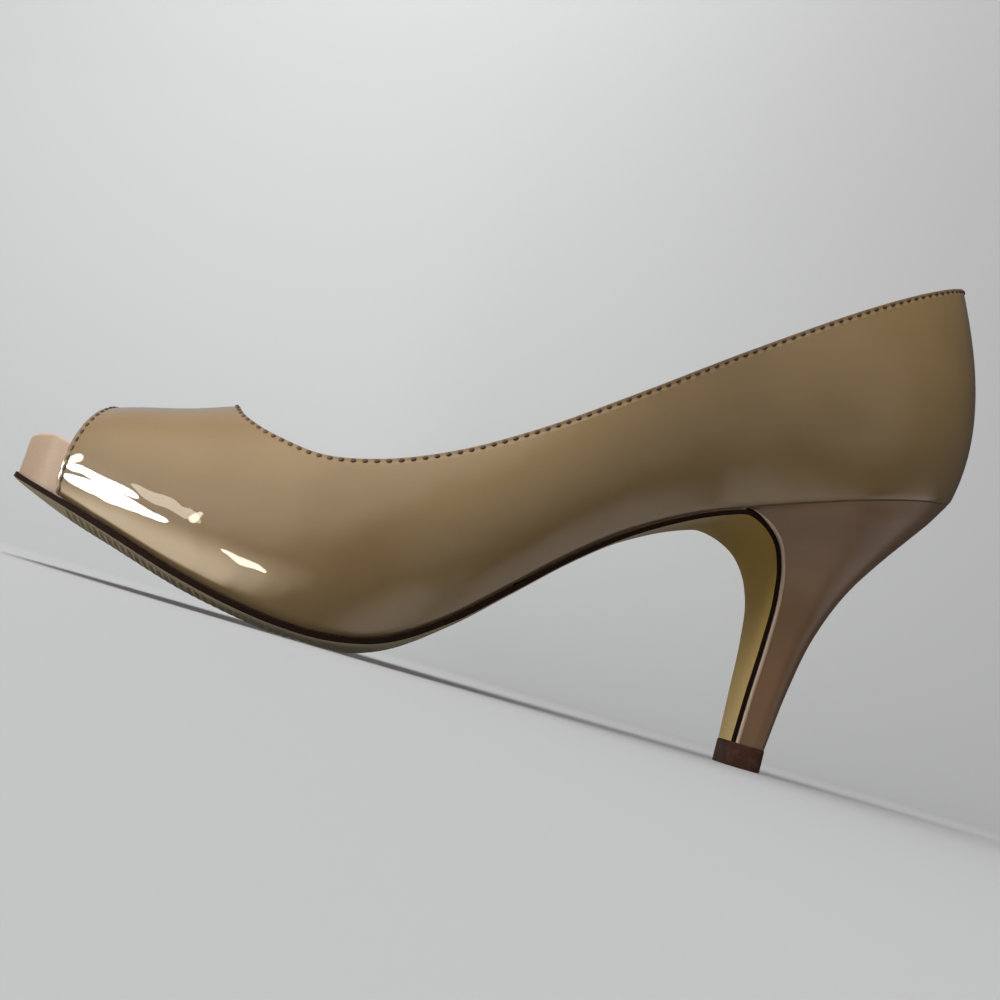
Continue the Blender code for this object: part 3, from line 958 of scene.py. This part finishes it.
# Down the flap the colour goes from pale at its foot to a darker yellow higher up: painted light below and
# painted shade under the arch, over the flap's own yellowish tone.
flap_painted_light_and_shade = mixed(tree, ranged(tree, axes.outputs["Z"], *FLAP_PAINTED_LIGHT_Z), FLAP_PALE_PAINTED_LIGHT, FLAP_YELLOW_PAINTED_SHADE)
tone = mixed(tree, ranged(tree, axes.outputs["X"], *FLAP_TONE_X), tone, flap_painted_light_and_shade)
grained = bumped(tree, spots(tree, 1200.0, 3.0), 0.2, 0.0002)
dressed(tree, shader, tone, grained, Roughness=0.62, Specular_IOR_Level=0.15)

edge_paint, tree, shader = surface_of("edge_paint")
tone = mixed(tree, spots(tree, 400.0, 3.0), EDGE_BROWN, tuple(1.8 * c for c in EDGE_BROWN))
brushed = bumped(tree, spots(tree, 700.0, 2.0), 0.3, 0.0002)
dressed(tree, shader, tone, brushed, Roughness=0.6, Specular_IOR_Level=0.02)

outsole.data.materials.append(tread_rubber)
outsole.data.materials.append(edge_paint)
smooth_shaded(outsole, 38)
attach(outsole, "root")
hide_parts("outsole")


# Heel
# A slim moulded block under a glued cover of the upper's leather, duller and a little pinker than the
# patent. The cover's folded edges run as thin rounds beside the sole's flap, down both sides of the breast,
# coloured pale as a painted highlight.

HEEL_RING = 34
HEEL_LEVELS = 72
HEEL_BROWN = (0.245, 0.140, 0.074)
HEEL_SHADE = (0.215, 0.120, 0.063)
# Pale as a painted highlight along the cover's folded edges.
FOLD_PAINTED_HIGHLIGHT = (0.62, 0.46, 0.34)
FOLD_RADIUS = 0.55
FOLD_TAPER = 9
FOLD_BACK = 0.35
FOLD_IN = 0.22
SEAT_GAP = 0.06
SEAT_GAP_BACK = 0.16
SEAT_BLEND = 8
SEAT_IN = 0.5

HeelStation = namedtuple("HeelStation", "run back_along back_height half")
HEEL_STATIONS = [
    HeelStation(tread_row.run, row.back_along, row.back_height, row.half)
    for tread_row, row in zip(TREAD_ROWS[-len(HEEL_ROWS):], HEEL_ROWS)
]

# The heel seat's outline as shares: 0 at the breast to 1 at the back, and of the half-width.
SEAT_FRONT = HEEL_ROWS[0].breast_along
SEAT_SHARES = [math.sin(math.pi / 2 * n / HEEL_RING) for n in range(HEEL_RING + 1)]
SEAT_SHAPE = [
    (share, half_width(SEAT_FRONT + (LENGTH - SEAT_FRONT) * share) / half_width(SEAT_FRONT))
    for share in SEAT_SHARES
]


def heel_ring(breast, back, half):
    """A D-shaped ring of the heel between a breast point and a back point of the middle plane."""
    outer = [
        (
            breast[0] + (back[0] - breast[0]) * share,
            LATERAL * half * wide,
            breast[1] + (back[1] - breast[1]) * share,
        )
        for share, wide in SEAT_SHAPE
    ]
    return outer + [(along, -out, height) for along, out, height in outer[-2::-1]]


first_run = HEEL_STATIONS[0].run
heel_rings = []
for n in range(HEEL_LEVELS + 1):
    run = first_run + (TREAD_END - first_run) * n / HEEL_LEVELS
    back = [smooth_at(HEEL_STATIONS, "run", column, run) for column in ("back_along", "back_height")]
    half = smooth_at(HEEL_STATIONS, "run", "half", run)
    heel_rings.append(heel_ring((tread("along", run), tread("height", run)), back, half))

# The seat follows the upper's foot closely, with a seam that opens a little towards the back.
moves = []
for along, out, height in heel_rings[0]:
    back_share = ((along - BREAST_ALONG) / (LENGTH - BREAST_ALONG)) ** 2
    gap = SEAT_GAP + (SEAT_GAP_BACK - SEAT_GAP) * back_share
    moves.append((SEAT_IN * back_share, feather("height", along) - gap - height))
for level, points in enumerate(heel_rings[:SEAT_BLEND]):
    fade = 1 - level / SEAT_BLEND
    heel_rings[level] = [
        (along - forward * fade, out, height + rise * fade)
        for (along, out, height), (forward, rise) in zip(points, moves)
    ]
heel = ringed("heel_block", heel_rings)

heel_leather, tree, shader = surface_of("heel_leather")
tone = mottled(tree, 55.0, 3.0, HEEL_BROWN, HEEL_SHADE)
waved = bumped(tree, spots(tree, 110.0, 1.0), 0.2, 0.0008)
grained = bumped(tree, spots(tree, 1500.0, 3.0), 0.14, 0.0002, waved)
dressed(
    tree, shader, tone, grained, Roughness=0.40, Specular_IOR_Level=0.2,
    Coat_Weight=0.5, Coat_Roughness=0.18,
)
heel.data.materials.append(heel_leather)
smooth_shaded(heel, 50)
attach(heel, "root")
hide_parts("heel")

# The folds' pale colour is a painted highlight along the rounded edges of the cover.
fold_painted_highlight, tree, shader = surface_of("fold_painted_highlight")
tone = mixed(tree, spots(tree, 300.0, 3.0), FOLD_PAINTED_HIGHLIGHT, tuple(0.8 * c for c in FOLD_PAINTED_HIGHLIGHT))
dressed(tree, shader, tone, bumped(tree, spots(tree, 1200.0, 3.0), 0.15, 0.0002), Roughness=0.35)
folds = []
for corner in (0, -1):
    bpy.ops.curve.primitive_nurbs_path_add()
    path = bpy.context.object
    path.data.splines.clear()
    spline = path.data.splines.new("POLY")
    spline.points.add(HEEL_LEVELS)
    for point, heel_points in zip(spline.points, heel_rings):
        along, out, height = heel_points[corner]
        point.co = (*place(along + FOLD_BACK, out - math.copysign(FOLD_IN, out), height), 1.0)
    for number in range(FOLD_TAPER):
        spline.points[number].radius = (number + 0.5) / FOLD_TAPER
    path.data.bevel_depth = FOLD_RADIUS * MM
    path.data.bevel_resolution = 3
    path.data.use_fill_caps = True
    bpy.ops.object.convert(target="MESH")
    folds.append(bpy.context.object)
fold = joined("heel_cover_fold", folds)
fold.data.materials.append(fold_painted_highlight)
smooth_shaded(fold, 60)
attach(fold, "root")


# Top piece
# The hard plastic tip that the heel stands on, a little larger than the heel's end all round.
# It is moulded dark brown, with its edges just broken.

TIP_PROUD = 0.2
TIP_BREAK = 0.35
TIP_EDGE_ANGLE = 50
TIP_BROWN = (0.070, 0.031, 0.020)
TIP_SCUFF = (0.100, 0.050, 0.034)

tip_row = HEEL_ROWS[-1]
tip_front, tip_back = tip_row.breast_along - EDGE - TIP_PROUD, tip_row.back_along + TIP_PROUD
tip = ringed("heel_tip", [
    heel_ring((tip_front, level), (tip_back, level), tip_row.half + TIP_PROUD)
    for level in (0.0, TIP_HEIGHT)
])
tip_edges = tip.modifiers.new("broken_edges", "BEVEL")
tip_edges.width = TIP_BREAK * MM
tip_edges.segments = 3
tip_edges.limit_method = "ANGLE"
tip_edges.angle_limit = math.radians(TIP_EDGE_ANGLE)
picked(tip)
bpy.ops.object.modifier_apply(modifier="broken_edges")
tip_plastic, tree, shader = surface_of("tip_plastic")
tone = mottled(tree, 500.0, 4.0, TIP_BROWN, TIP_SCUFF, 0.4, 0.7)
scuffed = bumped(tree, spots(tree, 900.0, 3.0), 0.2, 0.0002)
dressed(tree, shader, tone, scuffed, Roughness=0.5, Specular_IOR_Level=0.06)
tip.data.materials.append(tip_plastic)
smooth_shaded(tip, 30)
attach(tip, "root")
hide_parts("top_piece")


# Floor, light and camera
# A plain pale sheet that rises softly all round, soft studio light from the upper left with a cream card
# low before the toe, and a camera just above the floor at the photograph's angle to the shoe, rolled as the
# photograph is.

SHEET_SIZE = 7.0
SHEET_FLAT = 0.75
SHEET_FRONT_FLAT = 1.35
SHEET_RISE = 0.42
SHEET_CELLS = 160
SHEET_TURN_FROM, SHEET_TURN_SPAN = -0.2, 0.9
SHEET_BACK = (0.74, 0.75, 0.755)
SHEET_RIGHT_PAINTED_SHADE = (0.41, 0.414, 0.414)
SHEET_NEAR_LEFT = (0.33, 0.332, 0.334)
SHEET_NEAR_RIGHT_PAINTED_SHADE = (0.27, 0.271, 0.272)
SHEET_FRONT = (0.32, 0.321, 0.322)
SHEET_FAR_FRONT = (0.70, 0.705, 0.71)
SHEET_DAMP = 0.50
FAR_FRONT_Y = (-2.20, -0.80)
NEAR_Y = (-1.00, -0.24)
NEAR_X = (-0.15, 0.15)
BACK_Y = (0.30, 3.20)
BACK_X = (-1.2, 1.8)
CAMERA_PLACE = Vector((-0.0271, -0.2850, 0.0045))
CAMERA_YAW = 5.31
CAMERA_PITCH = 8.73
CAMERA_ROLL = 16.37
CAMERA_LENS = 40.35
CAMERA_NEAREST = 0.005

bpy.ops.mesh.primitive_grid_add(
    x_subdivisions=SHEET_CELLS, y_subdivisions=SHEET_CELLS, size=SHEET_SIZE,
)
floor = bpy.context.object
floor.name = "floor"
for vertex in floor.data.vertices:
    behind = eased(clamped((vertex.co.y - SHEET_TURN_FROM) / SHEET_TURN_SPAN))
    flat = SHEET_FRONT_FLAT + (SHEET_FLAT - SHEET_FRONT_FLAT) * behind
    past = max(0.0, math.hypot(vertex.co.x, vertex.co.y) - flat)
    vertex.co.z = SHEET_RISE * past * past
sheet, tree, shader = surface_of("pale_sheet")
axes = node(tree, "ShaderNodeSeparateXYZ")
tree.links.new(node(tree, "ShaderNodeTexCoord").outputs["Object"], axes.inputs["Vector"])
tone = mixed(tree, ranged(tree, axes.outputs["Y"], *FAR_FRONT_Y), SHEET_FAR_FRONT, SHEET_FRONT)
# Towards the right the sheet is coloured darker, near the shoe and behind it: painted shade, as of light
# falling off away from the left.
near = mixed(tree, ranged(tree, axes.outputs["X"], *NEAR_X), SHEET_NEAR_LEFT, SHEET_NEAR_RIGHT_PAINTED_SHADE)
tone = mixed(tree, ranged(tree, axes.outputs["Y"], *NEAR_Y), tone, near)
behind = mixed(tree, ranged(tree, axes.outputs["X"], *BACK_X), SHEET_BACK, SHEET_RIGHT_PAINTED_SHADE)
tone = mixed(tree, ranged(tree, axes.outputs["Y"], *BACK_Y), tone, behind)
sent_back = node(tree, "ShaderNodeLightPath").outputs["Is Diffuse Ray"]
tone = mixed(tree, combined(tree, "MULTIPLY", sent_back, SHEET_DAMP), tone, (0.0, 0.0, 0.0))
dressed(tree, shader, tone, None, Roughness=0.85, Specular_IOR_Level=0.0)
floor.data.materials.append(sheet)
smooth_shaded(floor, 60)
floor.visible_glossy = False

# Each softbox: where it stands, what it faces, its size in metres, its turn in its own plane in degrees,
# its power in watts, its colour and its task. One large box hangs high behind the shoe and the key stands
# at the front left: these light the shoe and the sheet. The washes fall on the sheet alone and through the
# shoe, so that its shadow stays soft and pale. The others show in the patent, mostly as streaks on the toe.
Softbox = namedtuple("Softbox", "name place aim size turn power colour task")
WHITE, CREAM = (1.0, 1.0, 1.0), (1.0, 0.90, 0.74)
TOE, BALL = (-0.083, -0.027, 0.019), (-0.055, -0.035, 0.013)
HIGH, HIGH_AIM = (-1.0, 2.1, 4.2), (-0.5, 1.4, 0.1)
KEY, KEY_AIM = (-0.52, -0.62, 1.49), (-0.06, 0.0, 0.03)
SOFTBOXES = [Softbox(*box) for box in (
    ("high_back", HIGH, HIGH_AIM, (4.0, 4.0), 0, 95.0, WHITE, "light"),
    ("high_wash", HIGH, HIGH_AIM, (4.0, 4.0), 0, 102.0, WHITE, "wash"),
    ("key", KEY, KEY_AIM, (1.4, 1.4), 0, 32.0, WHITE, "light"),
    ("key_wash", KEY, KEY_AIM, (1.4, 1.4), 0, 13.0, WHITE, "wash"),
    ("back_sheen", (1.6, 2.0, 3.2), (0.0, 0.0, 0.05), (2.4, 1.6), 0, 30.0, WHITE, "show"),
    ("low_pane", (-0.899, -0.402, 0.014), TOE, (0.60, 0.165), 0, 6.5, WHITE, "show"),
    ("upper_pane", (-0.910, -0.345, 0.160), TOE, (0.50, 0.13), -4, 4.0, WHITE, "show"),
    ("hook_pane", (-0.936, -0.139, 0.282), TOE, (0.09, 0.17), 0, 0.5, WHITE, "show"),
    ("side_pane", (-0.736, -0.615, 0.214), TOE, (0.36, 0.13), -27, 0.85, CREAM, "show"),
    ("edge_pane", (-0.665, -0.696, 0.176), TOE, (0.065, 0.17), -15, 0.38, CREAM, "show"),
    ("small_pane", (-0.393, -0.632, -0.126), BALL, (0.18, 0.048), -32, 0.45, CREAM, "show"),
)]
washed = bpy.data.collections.new("washed")
washed.objects.link(floor)
all_but_floor = bpy.data.collections.new("all_but_floor")
all_but_floor.objects.link(floor)
all_but_floor.collection_objects[0].light_linking.link_state = "EXCLUDE"
for box in SOFTBOXES:
    lamp = bpy.data.lights.new(box.name, "AREA")
    lamp.shape = "ELLIPSE" if box.task == "show" else "RECTANGLE"
    lamp.size, lamp.size_y = box.size
    lamp.energy, lamp.color = box.power, box.colour
    light = bpy.data.objects.new(box.name, lamp)
    light.visible_camera = False
    light.visible_diffuse = box.task != "show"
    light.visible_glossy = box.task == "show"
    if box.task == "wash":
        lamp.use_shadow = False
        light.light_linking.receiver_collection = washed
    if box.task == "show":
        light.light_linking.receiver_collection = all_but_floor
    light.location = box.place
    facing = (Vector(box.aim) - Vector(box.place)).to_track_quat("-Z", "Y").to_matrix()
    light.rotation_euler = (facing @ Matrix.Rotation(math.radians(box.turn), 3, "Z")).to_euler()
    bpy.context.scene.collection.objects.link(light)

# A cream card, unseen itself, leans low before the toe and shows as the pale sheen along the patent's foot.
CARD_PLACE = Vector((-0.183, -0.110, -0.045))
CARD_FACING = Vector((0.77, 0.64, 0.0))
CARD_HALF = (0.195, 0.080)
CARD_SHIFT = 0.015
CARD_CREAM = (1.0, 0.86, 0.65, 1.0)
CARD_POWER = 6.8
CARD_FADE = (0.12, 0.48)
bpy.ops.mesh.primitive_plane_add(size=2.0)
card = bpy.context.object
card.name = "toe_card"
aside = Vector((-CARD_FACING.y, CARD_FACING.x, 0.0)).normalized()
for vertex in card.data.vertices:
    level = Vector((0.0, 0.0, vertex.co.y * CARD_HALF[1]))
    vertex.co = CARD_PLACE + aside * (CARD_SHIFT + vertex.co.x * CARD_HALF[0]) + level
card_glow, tree, _ = surface_of("card_glow")
off_middle = node(tree, "ShaderNodeVectorMath", operation="DISTANCE")
tree.links.new(node(tree, "ShaderNodeTexCoord").outputs["UV"], off_middle.inputs[0])
off_middle.inputs[1].default_value = (0.5, 0.5, 0.0)
shine = node(tree, "ShaderNodeEmission", Color=CARD_CREAM)
power = ranged(tree, off_middle.outputs["Value"], *CARD_FADE, CARD_POWER, 0.0)
tree.links.new(power, shine.inputs["Strength"])
layered = node(tree, "ShaderNodeAddShader")
tree.links.new(shine.outputs["Emission"], layered.inputs[0])
tree.links.new(node(tree, "ShaderNodeBsdfTransparent").outputs["BSDF"], layered.inputs[1])
tree.links.new(layered.outputs["Shader"], tree.nodes["Material Output"].inputs["Surface"])
card.data.materials.append(card_glow)
card.visible_camera = card.visible_diffuse = card.visible_shadow = False

bpy.context.scene.view_settings.view_transform = "Standard"

# The room that the patent mirrors: dark, with a soft glow high at the front left, faint ones behind and at
# the front right, and two low ones, as of pale ground, along the foot of the arch and over the heel's seat.
Glow = namedtuple("Glow", "aim low colour")
ROOM_DARK = (0.045, 0.046, 0.050)
GLOWS = [
    Glow((-0.50, 0.85, 0.30), 0.30, (0.34, 0.35, 0.38)),
    Glow((-0.52, -0.50, 0.69), 0.58, (1.25, 1.23, 1.20)),
    Glow((0.44, -0.86, 0.20), 0.85, (0.36, 0.355, 0.345)),
    Glow((0.40, -0.62, -0.67), 0.88, (1.10, 1.02, 0.93)),
    Glow((0.86, -0.05, -0.50), 0.83, (0.90, 0.84, 0.78)),
]
world = bpy.data.worlds.new("studio")
bpy.context.scene.world = world
world.use_nodes = True
tree = world.node_tree
way = node(tree, "ShaderNodeTexCoord").outputs["Generated"]
tone = ROOM_DARK
for glow in GLOWS:
    towards = node(tree, "ShaderNodeVectorMath", operation="DOT_PRODUCT")
    tree.links.new(way, towards.inputs[0])
    towards.inputs[1].default_value = Vector(glow.aim).normalized()
    tone = mixed(tree, ranged(tree, towards.outputs["Value"], glow.low, 1.0), tone, glow.colour)
tree.links.new(tone, tree.nodes["Background"].inputs["Color"])

yaw, pitch, roll = (math.radians(turn) for turn in (CAMERA_YAW, CAMERA_PITCH, CAMERA_ROLL))
ahead = Vector((math.sin(yaw) * math.cos(pitch), math.cos(yaw) * math.cos(pitch), math.sin(pitch)))
camera = bpy.data.objects.new("camera", bpy.data.cameras.new("camera"))
camera.data.lens = CAMERA_LENS
camera.data.clip_start = CAMERA_NEAREST
camera.location = CAMERA_PLACE
level = ahead.to_track_quat("-Z", "Y").to_matrix()
camera.rotation_euler = (level @ Matrix.Rotation(roll, 3, "Z")).to_euler()
bpy.context.scene.collection.objects.link(camera)
bpy.context.scene.camera = camera
